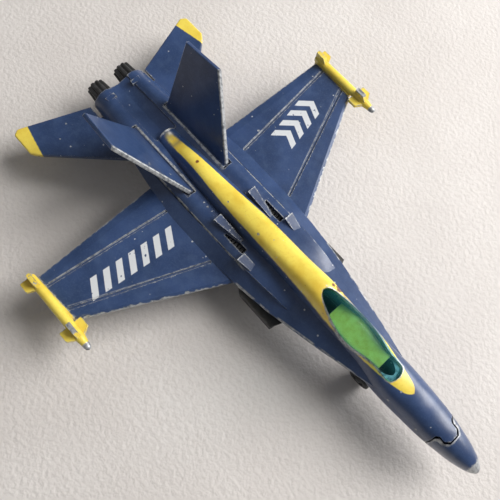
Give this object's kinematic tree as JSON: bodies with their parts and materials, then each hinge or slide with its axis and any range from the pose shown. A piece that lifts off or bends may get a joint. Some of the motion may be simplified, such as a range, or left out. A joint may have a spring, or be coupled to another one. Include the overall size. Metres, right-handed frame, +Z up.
{
  "type": "toy jet airplane",
  "caption": "Die-cast toy jet with strakes, canted twin fins, all-moving tail shapes, tinted clear canopy, tip missiles and free-rolling wheels.",
  "frame": {"origin": "on the floor under the middle of the airplane's bounding box, the wheels standing on that floor", "axes": "+X forward to the nose tip, +Y to the left wing tip, +Z up"},
  "size_m": [0.1262, 0.0912, 0.0317],
  "materials": {
    "blue_paint": "semi-gloss, worn at the edges",
    "black_plastic": "satin",
    "yellow_plastic": "semi-gloss",
    "yellow_paint": "semi-gloss",
    "tinted_clear": "polished, teal tint",
    "wire_steel": "drawn wire",
    "rivet_zinc": "dull, headed"
  },
  "bodies": {
    "airframe": {"upper_shell": "blue_paint", "nose_shell": "blue_paint", "belly_base": "black_plastic", "cockpit_tub": "yellow_plastic", "canopy": "tinted_clear", "fin_left": "blue_paint", "fin_right": "blue_paint", "tailplane_left": "blue_paint", "tailplane_right": "blue_paint", "nozzle_left": "black_plastic", "nozzle_right": "black_plastic", "tip_missile_left": "yellow_paint", "tip_missile_right": "yellow_paint", "nose_gear_leg": "black_plastic", "main_gear_leg_left": "black_plastic", "main_gear_leg_right": "black_plastic", "rivets": "rivet_zinc"},
    "nose_wheels": {"nose_axle": "wire_steel", "nose_wheel_left": "black_plastic", "nose_wheel_right": "black_plastic"},
    "main_wheels": {"main_axle": "wire_steel", "main_wheel_left": "black_plastic", "main_wheel_right": "black_plastic"}
  },
  "joints": [
    {"name": "nose_wheels_roll", "type": "hinge", "parent": "airframe", "child": "nose_wheels", "pos_m": [0.0338, 0, 0.00275], "axis": [0, 1, 0], "continuous": true},
    {"name": "main_wheels_roll", "type": "hinge", "parent": "airframe", "child": "main_wheels", "pos_m": [-0.0089, 0, 0.0034], "axis": [0, 1, 0], "continuous": true}
  ]
}
